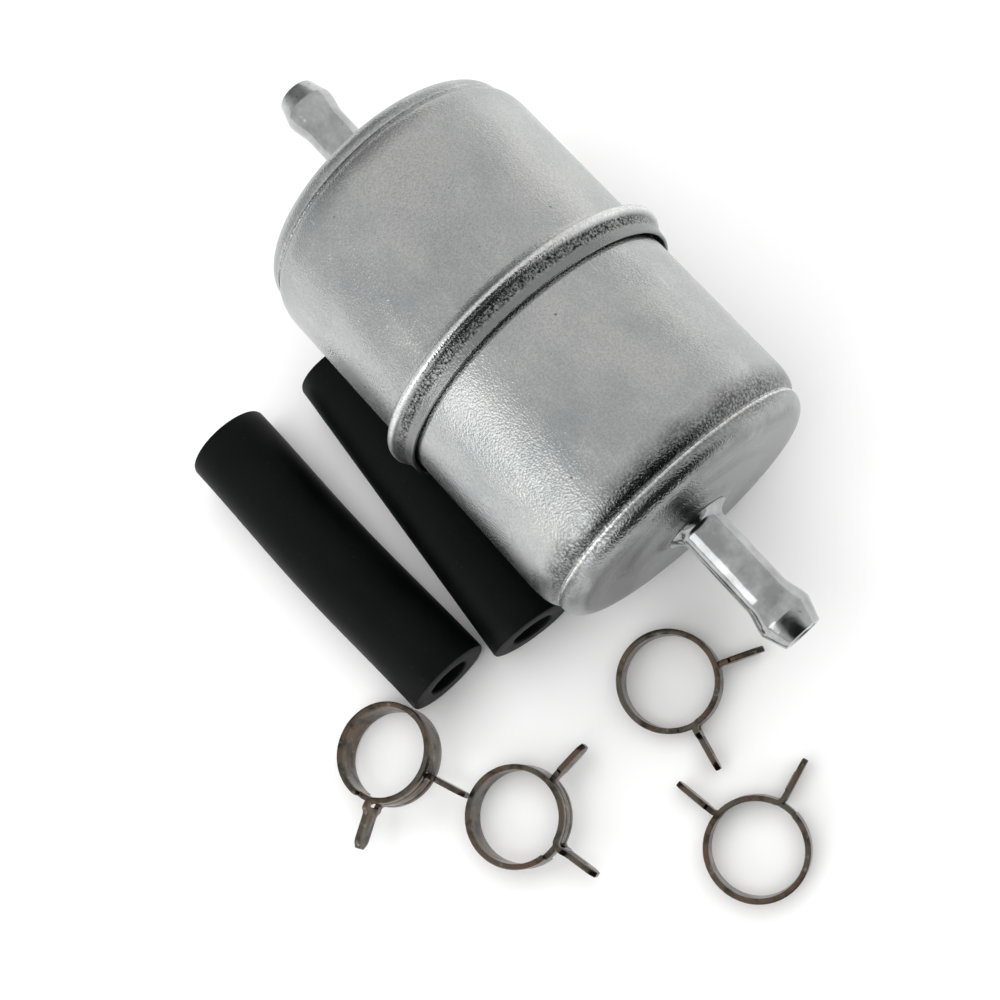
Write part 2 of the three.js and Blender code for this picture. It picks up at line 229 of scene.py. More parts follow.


# %% Painted dark reflections and painted highlights
# millimetres from the seam: where a band starts, is full, is full no more, and ends
SHOULDER_BAND = (24.0, 26.8, 27.6, 30.4)
CREASE_BAND = (27.65, 27.8, 28.15, 28.4)
TROUGH_BAND = (-0.75, -0.4, 0.6, 1.3)
LIP_BAND = (0.7, 1.2, 2.4, 2.5)
CREST_BAND = (-1.7, -1.45, -1.0, -0.7)


def band_along(tree, x_mm, start, full, full_to, end):
    rise = add_node(tree, "MapRange", x_mm, start, full, 0.0, 1.0)
    fall = add_node(tree, "MapRange", x_mm, full_to, end, 1.0, 0.0)
    return add_node(tree, "Math", rise, fall, operation="MINIMUM")


def painted_reflection_bands(tree, place, base):
    """The colour with painted dark reflections on its shoulders, ends and seam, and painted highlights
    on its crease and crest.
    """
    from_seam = add_node(tree, "VectorMath", place, BEAD_MIDDLE, operation="SUBTRACT")
    along = add_node(tree, "SeparateXYZ", from_seam, output="X")
    x_mm = add_node(tree, "Math", along, 1000.0, operation="MULTIPLY")
    either_way = add_node(tree, "Math", x_mm, operation="ABSOLUTE")
    wander = add_node(tree, "TexNoise", place, per_mm(6), 3, 0.6)
    wander = add_node(tree, "MapRange", wander, 0.3, 0.7, -0.8, 0.8)
    outward = add_node(tree, "Math", either_way, wander, operation="ADD")
    speckle = add_node(tree, "TexNoise", place, per_mm(0.32), 2, 0.6)
    speckle = add_node(tree, "MapRange", speckle, 0.35, 0.6, 0.35, 1.0)
    # the painted dark reflection on the shoulder and the painted highlight on the crease are stronger
    # on the outlet cup than on the inlet's
    strength = add_node(tree, "MapRange", x_mm, -5.0, 5.0, 0.28, 1.0)
    # painted dark reflection across each shoulder, broken up by the speckle
    shoulder = band_along(tree, outward, *SHOULDER_BAND)
    for weaken in (speckle, strength, 0.92):
        shoulder = add_node(tree, "Math", shoulder, weaken, operation="MULTIPLY")
    # painted dark reflection on each flat end
    end = add_node(tree, "MapRange", outward, 29.2, 30.8, 0.0, 0.85)
    # painted dark reflection on the seam's skirt, just past the crest
    trough = band_along(tree, x_mm, *TROUGH_BAND)
    trough = add_node(tree, "Math", trough, speckle, operation="MULTIPLY")
    # a weaker painted dark reflection on the lower skirt, the hem and the outlet wall beside it
    lip = band_along(tree, x_mm, *LIP_BAND)
    lip = add_node(tree, "Math", lip, 0.8, operation="MULTIPLY")
    # painted highlights on the crease at each end and on the crest of the bead
    crease = band_along(tree, either_way, *CREASE_BAND)
    crease = add_node(tree, "Math", crease, strength, operation="MULTIPLY")
    crest = band_along(tree, x_mm, *CREST_BAND)
    wear_and_painted_highlight = add_node(tree, "Math", crease, crest, operation="MAXIMUM")
    broken = add_node(tree, "MapRange", speckle, 0.4, 0.9, 1.0, 0.5)
    wear_and_painted_highlight = add_node(tree, "Math", wear_and_painted_highlight, broken, operation="MULTIPLY")
    # the painted dark reflections first, then the painted highlights, each mixed into the colour
    masks = ((shoulder, "#3f4040"), (end, "#777979"), (trough, "#232424"),
             (lip, "#7b7d7c"), (wear_and_painted_highlight, "#f2f3f2"))
    for mask, colour in masks:
        base = add_node(tree, "Mix", mask, base, srgb(colour), data_type="RGBA")
    return base


# %% Satin zinc plate
def satin_zinc_plate():
    material, tree, place = new_material("satin_zinc_plate_on_drawn_steel")
    base, cloud = cloudy_plate(tree, place)
    scratches = handling_scratches(tree, place)
    pale = add_node(tree, "Math", scratches, 0.6, operation="MULTIPLY")
    base = add_node(tree, "Mix", pale, base, srgb("#dcdedc"), data_type="RGBA")
    # the real grain is finer and shallower: it is drawn coarse enough to show as sparkle
    grain = add_node(tree, "TexNoise", place, per_mm(0.27), 1, 0.5)
    shade = add_node(tree, "MapRange", grain, 0.35, 0.65, 0.0, 0.34)
    base = add_node(tree, "Mix", shade, base, srgb("#8b8d8c"), data_type="RGBA")
    waves = add_node(tree, "TexNoise", place, per_mm(7), 2, 0.5)
    normal = add_node(tree, "Bump", Height=waves, Distance=0.10 * MM, Strength=0.4)
    normal = add_node(tree, "Bump", Height=grain, Distance=0.075 * MM, Strength=1.0, Normal=normal)
    normal = add_node(tree, "Bump", Height=scratches, Distance=0.02 * MM, Strength=0.6, Normal=normal)
    roughness = add_node(tree, "MapRange", cloud, 0.3, 0.7, 0.22, 0.32)
    # painted dark reflections and painted highlights go over the plate's own colour
    base = painted_reflection_bands(tree, place, base)
    set_shader(tree, Metallic=1.0, Base_Color=base, Roughness=roughness, Normal=normal)
    return material


CAN_METAL = satin_zinc_plate()
print("made", CAN_METAL.name)

# %% [markdown]
# ## Smooth drawn tube
# The nipples are cut from drawn tube and swaged over a pin, so they are smoother and
# brighter than the can, with faint marks along their length and slow waves in their
# reflections.

# %% Bright drawn tube
def bright_drawn_tube():
    material, tree, place = new_material("bright_zinc_plate_on_drawn_tube")
    cloud = add_node(tree, "TexNoise", place, per_mm(4), 4, 0.6)
    tone = add_node(tree, "MapRange", cloud, 0.35, 0.68, 0.0, 1.0)
    base = add_node(tree, "Mix", tone, srgb("#989b9b"), srgb("#c2c4c4"), data_type="RGBA")
    pits = add_node(tree, "TexNoise", place, per_mm(0.8), 2, 0.5)
    pits = add_node(tree, "MapRange", pits, 0.70, 0.76, 0.0, 0.7)
    base = add_node(tree, "Mix", pits, base, srgb("#6a6b6b"), data_type="RGBA")
    waves = add_node(tree, "TexNoise", place, per_mm(2.2), 2, 0.5)
    normal = add_node(tree, "Bump", Height=waves, Distance=0.1 * MM, Strength=0.6)
    lengthwise = add_node(tree, "Mapping", Vector=place, Scale=(0.08, 1, 1))
    marks = add_node(tree, "TexNoise", lengthwise, per_mm(0.5), 2, 0.5)
    normal = add_node(tree, "Bump", Height=marks, Distance=0.01 * MM, Strength=0.6, Normal=normal)
    roughness = add_node(tree, "MapRange", cloud, 0.3, 0.7, 0.1, 0.2)
    set_shader(tree, Metallic=1.0, Base_Color=base, Roughness=roughness, Normal=normal)
    return material


TUBE_METAL = bright_drawn_tube()
print("made", TUBE_METAL.name)

# %% [markdown]
# ## Tempered spring steel
# The clamps are blanked from strip, bent, and tempered. Heat leaves a dull brown-grey
# skin with warm tints, and the tumbling afterwards rubs it bright in places.

# %% Spring steel
def tempered_spring_steel():
    material, tree, place = new_material("tempered_spring_steel_strip")
    tint = add_node(tree, "TexNoise", place, per_mm(5), 3, 0.55)
    tint = add_node(tree, "MapRange", tint, 0.36, 0.66, 0.0, 1.0)
    base = add_node(tree, "Mix", tint, srgb("#605e56"), srgb("#6a574b"), data_type="RGBA")
    dark = add_node(tree, "TexNoise", place, per_mm(2.4), 4, 0.6)
    heat = add_node(tree, "MapRange", dark, 0.48, 0.66, 0.0, 0.85)
    base = add_node(tree, "Mix", heat, base, srgb("#302f2a"), data_type="RGBA")
    wear_and_painted_highlight = add_node(tree, "TexNoise", place, per_mm(1.3), 3, 0.6)
    wear_and_painted_highlight = add_node(tree, "MapRange", wear_and_painted_highlight, 0.62, 0.76, 0.0, 0.6)
    base = add_node(tree, "Mix", wear_and_painted_highlight, base, srgb("#aaa59b"), data_type="RGBA")
    rolled = add_node(tree, "Mapping", Vector=place, Scale=(1, 1, 0.5))
    rolled = add_node(tree, "TexNoise", rolled, per_mm(0.45), 3, 0.6)
    normal = add_node(tree, "Bump", Height=rolled, Distance=0.02 * MM, Strength=0.8)
    roughness = add_node(tree, "MapRange", dark, 0.3, 0.7, 0.18, 0.34)
    set_shader(tree, Metallic=1.0, Base_Color=base, Roughness=roughness, Normal=normal)
    return material


SPRING_STEEL = tempered_spring_steel()
print("made", SPRING_STEEL.name)

# %% [markdown]
# ## Black fuel hose rubber
# Extruded nitrile rubber, cut to length. It is a matte charcoal with a soft sheen,
# fine lines along its length from the die, and a little pale dust.

# %% Nitrile rubber
def nitrile_rubber(name):
    material, tree, place = new_material(name)
    cloud = add_node(tree, "TexNoise", place, per_mm(9), 4, 0.6)
    tone = add_node(tree, "MapRange", cloud, 0.35, 0.68, 0.0, 1.0)
    base = add_node(tree, "Mix", tone, srgb("#040605"), srgb("#0a0c0c"), data_type="RGBA")
    dust = add_node(tree, "TexNoise", place, per_mm(0.55), 2, 0.5)
    dust = add_node(tree, "MapRange", dust, 0.72, 0.80, 0.0, 0.4)
    base = add_node(tree, "Mix", dust, base, srgb("#3a3e3c"), data_type="RGBA")
    die_lines = add_node(tree, "Mapping", Vector=place, Scale=(0.06, 1, 1))
    die_lines = add_node(tree, "TexNoise", die_lines, per_mm(0.6), 2, 0.5)
    normal = add_node(tree, "Bump", Height=die_lines, Distance=0.02 * MM, Strength=0.5)
    skin = add_node(tree, "TexNoise", place, per_mm(0.3), 3, 0.6)
    normal = add_node(tree, "Bump", Height=skin, Distance=0.02 * MM, Strength=0.6, Normal=normal)
    roughness = add_node(tree, "MapRange", cloud, 0.3, 0.7, 0.42, 0.58)
    set_shader(tree, Specular_IOR_Level=0.1, Base_Color=base, Roughness=roughness, Normal=normal)
    return material


HOSE_RUBBER = nitrile_rubber("extruded_nitrile_rubber")
SEAL_RUBBER = nitrile_rubber("moulded_seal_rubber")
print("made", HOSE_RUBBER.name, SEAL_RUBBER.name)

# %% [markdown]
# ## Resin-treated filter paper
# The element's paper is tan, slightly mottled, with visible fibres.

# %% Filter paper
def resin_filter_paper():
    material, tree, place = new_material("resin_treated_filter_paper")
    pulp = add_node(tree, "TexNoise", place, per_mm(2.5), 5, 0.65)
    pulp = add_node(tree, "MapRange", pulp, 0.35, 0.68, 0.0, 1.0)
    base = add_node(tree, "Mix", pulp, srgb("#b98f4e"), srgb("#d2ae70"), data_type="RGBA")
    fibres = add_node(tree, "Mapping", Vector=place, Scale=(0.3, 1, 1))
    fibres = add_node(tree, "TexNoise", fibres, per_mm(0.3), 3, 0.6)
    normal = add_node(tree, "Bump", Height=fibres, Distance=0.03 * MM, Strength=0.6)
    set_shader(tree, Base_Color=base, Roughness=0.85, Normal=normal)
    return material


FILTER_PAPER = resin_filter_paper()
print("made", FILTER_PAPER.name)

# %% [markdown]
# ## The can's two pressed cups
# Each cup is one sheet, 0.6 mm thick. Its wall runs straight to a soft shoulder, then
# a sharp crease, then a second round into the flat end, where shallow steps lead to
# the nipple's hole. One outline goes along the outside and back along the inside, so
# a single turn gives the cup its wall and its thickness.

# %% The pressed end
def end_outside():
    shoulder = arc(24.2, 19.75, 3.35, 1.25, 90, 14, 12)
    crease = [(27.58, 20.0), (27.68, 19.82), (27.78, 19.74), (27.88, 19.80), (27.98, 19.92)]
    rim = arc(28.3, 16.5, 2.62, 3.42, 94, 4, 16)
    steps = [(30.99, 16.2), (30.93, 14.4), (30.86, 12.4), (30.9, 11.7), (31.1, 11.1), (31.18, 10.5)]
    boss = [(31.18, 7.0), (31.24, 6.5), (31.45, 5.9), (31.65, 5.4), (31.73, 5.0), (31.75, 3.5)]
    return [*shoulder, *crease, *rim, *steps, *boss]


def end_inside():
    boss = [(31.15, 3.5), (31.1, 5.0), (30.85, 5.9), (30.6, 6.6), (30.58, 10.4), (30.35, 11.6)]
    rim = arc(28.2, 16.4, 2.0, 2.75, 0, 84, 6)
    shoulder = arc(24.2, 19.1, 3.0, 1.3, 30, 90, 6)
    return [*boss, (30.3, 14.5), *rim, *shoulder]


print("end outline:", len(end_outside()), "points outside,", len(end_inside()), "inside")

# %% Outlet cup
def coat(piece, material):
    piece.data.materials.clear()
    piece.data.materials.append(material)


def fit_piece(piece, body, node, material):
    coat(piece, material)
    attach(piece, body)
    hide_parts(node)
    print(piece.name, len(piece.data.polygons), "faces")


AT_FILTER = Matrix.Translation(BEAD_MIDDLE)
flange = [(0.1, 20.4), (-0.1, 20.6), (-0.1, 21.6), (0.5, 21.6),
          (0.5, 21.25), (0.62, 21.07), (0.85, 21.0)]
outlet_cup = turn_outline("outlet_cup", [*flange, *end_outside(), *end_inside()], 160)
put(outlet_cup, AT_FILTER)
fit_piece(outlet_cup, "housing", "outlet_shell", CAN_METAL)

# %% [markdown]
# ## The rolled seam
# The inlet cup's edge is turned out, rolled over the crest and folded down over the
# outlet cup's flange as a sloping skirt. The crest is tight and catches the light; the
# skirt leaves a dark line of shadow against the outlet wall.

# %% Inlet cup with its bead
foot = arc(-3.5, 22.3, 1.5, 1.3, -90, -12, 8)
crest = arc(-1.33, 22.44, 0.66, 0.66, 168, 20, 10)
skirt = [(-0.52, 22.46), (-0.2, 22.32), (0.3, 22.2), (1.0, 22.1), (1.7, 22.0)]
hem = arc(1.82, 21.74, 0.28, 0.25, 75, -80, 5)
under = [(1.5, 21.5), (0.7, 21.68), (-0.2, 21.8), (-0.9, 22.1),
         (-1.3, 22.0), (-1.32, 21.2), (-1.6, 20.55), (-2.1, 20.4)]
bead = [*foot, *crest, *skirt, *hem, *under]
cup_outline = [*mirrored(end_outside()), *bead, *mirrored(end_inside())]
inlet_cup = turn_outline("inlet_cup", cup_outline, 160)
put(inlet_cup, AT_FILTER)
fit_piece(inlet_cup, "housing", "inlet_shell", CAN_METAL)

# %% [markdown]
# ## The hose nipples
# Each nipple is a tube whose end is swaged into a barb: a long flare out, a firm edge,
# and a short cone in to the mouth. The mouth is rounded into the bore.

# %% Nipples
STEM_R = 3.1
BORE_R = 2.1
FLARE_LENGTH = 3.6
MOUTH_ROUND = 0.28


def nipple_outline(tip, barb_r, barb_length, mouth_r):
    edge = tip - barb_length
    root = [(29.9, BORE_R), (29.9, 5.2), (30.1, 5.4), (30.4, 5.4),
            (30.5, 5.2), (30.5, 3.5), (30.6, 3.25), (30.9, STEM_R)]
    flare = []
    for i in range(10):
        t = i / 10
        rise = (barb_r - STEM_R) * t * t * (3 - 2 * t) * 0.97
        flare.append((edge - FLARE_LENGTH * (1 - t), STEM_R + rise))
    barb = [(edge - 0.12, barb_r - 0.03), (edge + 0.05, barb_r), (edge + 0.24, barb_r - 0.05)]
    lip = arc(tip - MOUTH_ROUND, mouth_r - MOUTH_ROUND, MOUTH_ROUND, MOUTH_ROUND, 70, 0, 4)
    inner = arc(tip - MOUTH_ROUND, BORE_R + MOUTH_ROUND, MOUTH_ROUND, MOUTH_ROUND, 0, -90, 4)
    return [*root, *flare, *barb, *lip, *inner]


outlet_outline = nipple_outline(OUTLET_TIP, barb_r=3.85, barb_length=3.2, mouth_r=2.85)
outlet_tube = turn_outline("outlet_tube", outlet_outline, 64)
put(outlet_tube, AT_FILTER)
fit_piece(outlet_tube, "housing", "outlet_nipple", TUBE_METAL)
inlet_outline = nipple_outline(INLET_TIP, barb_r=3.65, barb_length=3.0, mouth_r=2.85)
inlet_tube = turn_outline("inlet_tube", mirrored(inlet_outline), 64)
put(inlet_tube, AT_FILTER)
fit_piece(inlet_tube, "housing", "inlet_nipple", TUBE_METAL)

# %% [markdown]
# ## Braze fillets
# Braze flows into the corner between nipple and can and freezes as a flared fillet.
# The real one is a little uneven round the tube; this one is turned evenly.

# %% Fillets
def fillet_outline():
    flare = [(31.83 + 1.3 * t, 3.14 + 1.5 * (1 - t) ** 2.2) for t in
             (0, 0.08, 0.18, 0.3, 0.45, 0.6, 0.8, 1.0)]
    return [(31.78, 3.12), (31.78, 4.66), *flare, (33.15, 3.12)]


for side, outline in (("outlet", fillet_outline()), ("inlet", mirrored(fillet_outline()))):
    fillet = turn_outline(f"{side}_fillet", outline, 64)
    put(fillet, AT_FILTER)
    fit_piece(fillet, "housing", f"{side}_braze_ring", TUBE_METAL)

# %% [markdown]
# ## The hoses
# Two pieces of rubber hose, cut square. The outline runs along the outside, round the
# cut edge and back through the bore, with many stations along it, so that the middle
# can be pushed sideways with a soft falloff: hose keeps a little of the bend of the
# reel it was cut from.

# %% Hoses
HOSE_HALF = 24.0  # half its length
HOSE_R = 6.35
HOSE_BORE = 3.18
CUT_EDGE = 0.35  # how much of each end the rounded cut takes


def hose_piece(name, bow_mm):
    reach = HOSE_HALF - CUT_EDGE
    stations = [-reach + 2 * reach * i / 24 for i in range(25)]
    outside = [(x, HOSE_R) for x in stations]
    near = [(HOSE_HALF - 0.1, HOSE_R - 0.1), (HOSE_HALF, HOSE_R - CUT_EDGE),
            (HOSE_HALF, HOSE_BORE + 0.22), (HOSE_HALF - 0.2, HOSE_BORE)]
    bore = [(x * 0.98, HOSE_BORE) for x in reversed(stations)]
    far = [(-x, r) for x, r in reversed(near)]
    hose = turn_outline(name, [*outside, *near, *bore, *far], 64)
    bpy.ops.object.mode_set(mode="EDIT")
    mesh = bmesh.from_edit_mesh(hose.data)
    for vertex in mesh.verts:
        vertex.select_set(abs(vertex.co.x) < 1.2 * MM)
    mesh.select_flush(True)
    bpy.ops.transform.translate(
        value=(0, bow_mm * MM, 0),
        use_proportional_edit=True,
        proportional_edit_falloff="SMOOTH",
        proportional_size=HOSE_HALF * MM,
    )
    bpy.ops.object.mode_set(mode="OBJECT")
    return hose


for name, turn, bow in (("hose_1", 2.3, -0.5), ("hose_2", -5.2, 0.0)):
    low, high = (Vector(corner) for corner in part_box(name))
    hose = hose_piece(f"{name}_rubber", bow)
    heading = Matrix.Rotation(math.radians(turn), 4, "Z")
    put(hose, Matrix.Translation((low + high) / 2) @ heading)
    fit_piece(hose, f"{name}_piece", name, HOSE_RUBBER)

# %% [markdown]
# ## The spring clamps
# A clamp is one strip of steel, 0.8 mm thick. One end has a window; the other narrows
# to a tongue that passes through it, and both ends turn out as tangs with a pressed
# rib. It could be cut from a solid ring, but a strip is truer: a line of points across
# the strip is extruded along its path, the window's faces are deleted, and Solidify
# gives the sheet its thickness. The strip is made in two halves that meet at the back
# of the ring.

# %% Strip path
RING_R = 6.75  # the middle of the strip's thickness
STRIP_THICK = 0.8
STRIP_HALF = 2.25  # half the strip's width
TANG_R = 13.6  # the tang's tip
TANG_AT = 40.0  # each tang's angle from the front, in degrees
TANG_HALF = 1.5  # half the tang's width
TANG_FOOT = 8.7  # where the tang is clear of the bend
BEND_R = 1.0  # the bend from ring to tang
COLUMNS = [-STRIP_HALF, -1.15, -0.75, -0.3, 0.3, 0.75, 1.15, STRIP_HALF]


def polar(r, degrees, side=0.0):
    a = math.radians(degrees)
    return Vector((r * math.cos(a) - side * math.sin(a), r * math.sin(a) + side * math.cos(a)))


def strip_path(tang_at, to_angle, direction):
    """Stations from the tang's tip, through the bend, and round the ring to to_angle."""
    centre_r = math.sqrt((RING_R + BEND_R) ** 2 - BEND_R**2)
    meet = math.degrees(math.atan2(BEND_R, centre_r))
    stations = (TANG_R, 13.3, 12.9, 12.4, 11.8, 11.2, 10.6, 10.0, 9.4, 8.9, 8.5, 8.1)
    path = [(polar(r, tang_at), "tang", r) for r in stations]
    path.append((polar(centre_r, tang_at), "bend", centre_r))
    for i in range(1, 6):
        turn = math.radians(i / 6 * (90 - meet))
        sideways = direction * BEND_R * (1 - math.cos(turn))
        corner = polar(centre_r - BEND_R * math.sin(turn), tang_at, sideways)
        path.append((corner, "bend", corner.length))
    start = tang_at + direction * meet
    count = max(2, round(abs(to_angle - start) / 3))
    for i in range(count + 1):
        angle = start + (to_angle - start) * i / count
        path.append((polar(RING_R, angle), "ring", angle))
    return path


def tang_half_width(r):
    rounding = min(1.0, 0.45 + (TANG_R - r) * 0.62)
    return TANG_HALF * rounding


print("strip path:", len(strip_path(-TANG_AT, 180.0, 1)), "stations")

# %% [markdown]
# Both halves share one routine. Only the widths differ: the window half keeps its full
# width from the tang's foot, and the tongue half is narrow until it is past the window.

# %% Bend the strip
def select_vertices(piece, test):
    mesh = bmesh.from_edit_mesh(piece.data)
    bpy.ops.mesh.select_all(action="DESELECT")
    for vertex in mesh.verts:
        vertex.select_set(test(vertex.co / MM))
    mesh.select_flush(True)
    bmesh.update_edit_mesh(piece.data)


def bend_strip(name, path, columns, half_width):
    first, kind, at = path[0]
    reach = max(columns)
    scale = half_width(kind, at) / reach
    line = [(first.x * MM, first.y * MM, z * scale * MM) for z in columns]
    piece = draw_chain(name, line)
    bpy.ops.mesh.select_all(action="SELECT")
    for (here, _, _), (there, kind, at) in zip(path, path[1:]):
        step = (there - here) * MM
        bpy.ops.mesh.extrude_region_move(TRANSFORM_OT_translate={"value": (step.x, step.y, 0)})
        ratio = half_width(kind, at) / (scale * reach)
        if abs(ratio - 1) > 1e-4:
            bpy.ops.transform.resize(value=(1, 1, ratio), center_override=(0, 0, 0))
            scale *= ratio
    return piece


# %% Rib, thickness and edges
RIB_HEIGHT = 0.14
RIB_END = 11.6
EDGE_ROUND = 0.13


def finish_strip(piece, rib_at):
    """Presses the rib, gives the sheet its thickness and eases every edge but the back's."""
    across = polar(1, rib_at)
    normal = Vector((-across.y, across.x, 0))

    def on_rib(co):
        along = co.x * across.x + co.y * across.y
        return TANG_FOOT < along < RIB_END and abs(co.z) < 0.5

    select_vertices(piece, on_rib)
    bpy.ops.transform.translate(value=normal * (RIB_HEIGHT * MM))
    bpy.ops.mesh.select_all(action="SELECT")
    bpy.ops.mesh.normals_make_consistent(inside=False)
    bpy.ops.object.mode_set(mode="OBJECT")
    wall = piece.modifiers.new("strip thickness", "SOLIDIFY")
    wall.thickness = STRIP_THICK * MM
    wall.offset = 0
    wall.use_even_offset = True
    bpy.ops.object.modifier_apply(modifier=wall.name)
    bpy.ops.object.mode_set(mode="EDIT")
    bpy.ops.mesh.select_mode(type="EDGE")
    bpy.ops.mesh.select_all(action="DESELECT")
    bpy.ops.mesh.edges_select_sharp(sharpness=math.radians(50))
    mesh = bmesh.from_edit_mesh(piece.data)
    for edge in mesh.edges:
        if edge.select and all(v.co.x < -6 * MM and abs(v.co.y) < 0.02 * MM for v in edge.verts):
            edge.select_set(False)
    bmesh.update_edit_mesh(piece.data)
    bpy.ops.mesh.bevel(offset=EDGE_ROUND * MM, segments=2, affect="EDGES", clamp_overlap=True)
    bpy.ops.mesh.select_all(action="SELECT")
    bpy.ops.mesh.select_mode(type="VERT")
    bpy.ops.mesh.remove_doubles(threshold=1e-6)
    bpy.ops.mesh.normals_make_consistent(inside=False)
    bpy.ops.object.mode_set(mode="OBJECT")
    bpy.ops.object.shade_smooth_by_angle(angle=math.radians(38))


# %% Window half
WINDOW_HALF = 1.12  # half the window's height
WINDOW_FROM, WINDOW_TO = -50, 43  # its ends, in degrees from the front


def window_width(kind, at):
    if kind != "tang" or at < 8.2:
        return STRIP_HALF
    return tang_half_width(at) if at > TANG_FOOT else 1.75


def make_window_half():
    path = strip_path(-TANG_AT, 180.0, 1)
    piece = bend_strip("window_half", path, COLUMNS, window_width)
    bpy.ops.mesh.select_mode(type="FACE")
    mesh = bmesh.from_edit_mesh(piece.data)
    for face in mesh.faces:
        centre = face.calc_center_median() / MM
        angle = math.degrees(math.atan2(centre.y, centre.x))
        on_ring = centre.xy.length < 7.6 and WINDOW_FROM < angle < WINDOW_TO
        face.select_set(on_ring and abs(centre.z) < WINDOW_HALF)
    bmesh.update_edit_mesh(piece.data)
    bpy.ops.mesh.delete(type="FACE")
    bpy.ops.mesh.select_mode(type="VERT")
    finish_strip(piece, -TANG_AT)
    return piece


window_half = make_window_half()
print("window half:", len(window_half.data.polygons), "faces")

# %% Tongue half
TONGUE_HALF = 0.98  # half its width
TONGUE_TO = -58.0  # where the strip's full width starts, in degrees


def tongue_width(kind, at):
    if kind == "tang":
        return tang_half_width(at) if at > TANG_FOOT else 1.1
    return TONGUE_HALF


def make_tongue_half():
    path = strip_path(TANG_AT, TONGUE_TO, -1)
    narrow = [z for z in COLUMNS if abs(z) < 0.8]
    piece = bend_strip("tongue_half", path, narrow, tongue_width)
    # the strip's full width starts here: its last line of points is drawn outwards
    end = polar(RING_R, TONGUE_TO) * MM
    for side in (-1, 1):
        for z_from, z_to in ((TONGUE_HALF, 1.3), (1.3, STRIP_HALF)):
            corner = Vector((end.x, end.y, side * z_from * MM))
            select_vertices(piece, lambda co: (co * MM - corner).length < 0.01 * MM)
            bpy.ops.mesh.extrude_region_move(
                TRANSFORM_OT_translate={"value": (0, 0, side * (z_to - z_from) * MM)})
    select_vertices(piece, lambda co: (co.xy * MM - end).length < 0.01 * MM)
    steps = 42
    ring = [polar(RING_R, TONGUE_TO - (180 + TONGUE_TO) * i / steps) for i in range(steps + 1)]
    for here, there in zip(ring, ring[1:]):
        step = (there - here) * MM
        bpy.ops.mesh.extrude_region_move(TRANSFORM_OT_translate={"value": (step.x, step.y, 0)})
    finish_strip(piece, TANG_AT)
    return piece


tongue_half = make_tongue_half()
print("tongue half:", len(tongue_half.data.polygons), "faces")

# %% [markdown]
# ## Four clamps from one
# Each clamp is a copy with its own mesh, turned the way it lies. Where it lies comes
# from the frame: the squeeze hinge is at the back of the ring, one radius behind its
# middle.

# %% Place the clamps
# degrees: which way the front faces, how far it leans, and the axis that it leans about
LIES = {1: (-17, 14, -88), 2: (54, 6, -70), 3: (27, 0, 0), 4: (149, 0, 0)}
BEND_FROM, BEND_TO = -4.5, -8.6  # two points behind the ring's middle, in millimetres
hinges = {joint["name"]: Vector(joint["pos_m"]) for joint in frame["joints"] if "pos_m" in joint}

for number, (front, tilt, lean) in LIES.items():
    lean_axis = Vector((math.cos(math.radians(lean)), math.sin(math.radians(lean)), 0))
    facing = Matrix.Rotation(math.radians(front), 4, "Z")
    turn = Matrix.Rotation(math.radians(tilt), 4, lean_axis) @ facing
    back = Vector((-RING_R * MM, 0, 0))
    middle = hinges[f"clamp_{number}_squeeze"] - turn.to_3x3() @ back
    place = Matrix.Translation(middle) @ turn
    before = place @ Vector((BEND_FROM * MM, 0, 0))
    after = place @ Vector((BEND_TO * MM, 0, 0))
    for half, start, end in ((window_half, before, after), (tongue_half, after, before)):
        copy = half.copy()
        copy.data = half.data.copy()
        copy.name = f"clamp_{number}_{half.name}_strip"
        bpy.context.scene.collection.objects.link(copy)
        put(copy, place)
        coat(copy, SPRING_STEEL)
        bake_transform(copy)
        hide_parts(f"clamp_{number}_{half.name}")

for pattern in (window_half, tongue_half):
    bpy.data.objects.remove(pattern)
print("clamps placed:", len(LIES))

# %% [markdown]
# ## The retaining spring
# A conical coil presses the element on to its gasket. It is hidden. A Screw modifier
# could turn a ring of wire up a straight coil; this one widens as it goes, so its path is
# drawn as a chain and given its thickness as a curve.

# %% Retaining spring
def coil_piece(name, first, last, turns, wire_r, steps=64):
    points = []
    for i in range(steps + 1):
        x, r = (a + (b - a) * i / steps for a, b in zip(first, last))
        angle = 2 * math.pi * turns * i / steps
        points.append((x * MM, r * math.cos(angle) * MM, r * math.sin(angle) * MM))
    draw_chain(name, points)
    bpy.ops.object.mode_set(mode="OBJECT")
    bpy.ops.object.convert(target="CURVE")
    wire = bpy.context.object.data
    wire.bevel_depth = wire_r * MM
    wire.bevel_resolution = 3
    wire.use_fill_caps = True
    bpy.ops.object.convert(target="MESH")
    return bpy.context.object


coil = coil_piece("retaining_coil", first=(-29.65, 7.6), last=(-21.7, 10.5), turns=2.6, wire_r=0.5)
put(coil, AT_FILTER)
bpy.ops.object.shade_smooth()
coat(coil, SPRING_STEEL)
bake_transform(coil)
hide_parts("retaining_spring")
print(coil.name, len(coil.data.polygons), "faces")

# %% [markdown]
# ## Inside the can
# The element, its core, caps, seals and seat are hidden, and their shapes are right as
# they stand, so they only take their finishes.

# %% Finishes for the hidden parts
HIDDEN = {
    "filter_paper": FILTER_PAPER,
    "perforated_core": TUBE_METAL,
    "closed_end_cap": CAN_METAL,
    "open_end_cap": CAN_METAL,
    "spring_seat": TUBE_METAL,
    "outlet_gasket": SEAL_RUBBER,
    "seam_seal": SEAL_RUBBER,
}
for name, material in HIDDEN.items():
    coat(frame["nodes"][name], material)
print("hidden parts finished:", len(HIDDEN))
